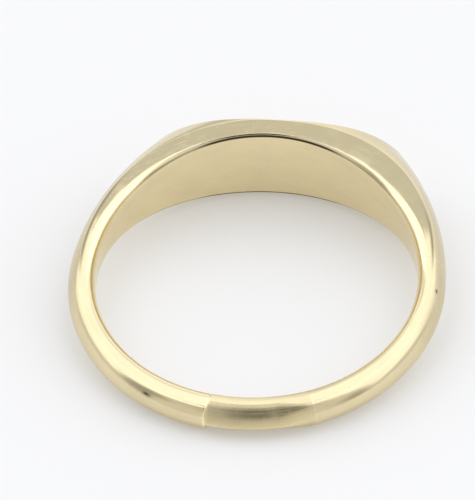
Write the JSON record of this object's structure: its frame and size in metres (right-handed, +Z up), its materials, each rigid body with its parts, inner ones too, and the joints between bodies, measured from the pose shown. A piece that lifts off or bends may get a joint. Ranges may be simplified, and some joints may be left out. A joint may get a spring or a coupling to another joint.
{
  "type": "signet ring",
  "caption": "Plain yellow gold signet ring lying on its side, with an oval flat table, crowned shoulders and a tapering shank.",
  "frame": {"origin": "middle of the ring's footprint on the surface that it lies on", "axes": "+Z up from that surface, +Y towards the head, +X to the right seen from the shank; the bore axis leans 5.56 degrees from +Z towards -Y"},
  "size_m": [0.0202, 0.02, 0.0054],
  "materials": {
    "gold": "polished 14 carat yellow gold",
    "sizing_gold": "polished 14 carat yellow gold, a little satin",
    "hard_solder": "polished pale gold solder"
  },
  "bodies": {
    "root": {"signet_head": "gold", "right_shank_arm": "gold", "left_shank_arm": "gold", "sizing_piece": "sizing_gold", "right_shoulder_solder": "hard_solder", "left_shoulder_solder": "hard_solder", "right_sizing_solder": "hard_solder", "left_sizing_solder": "hard_solder"}
  },
  "joints": []
}
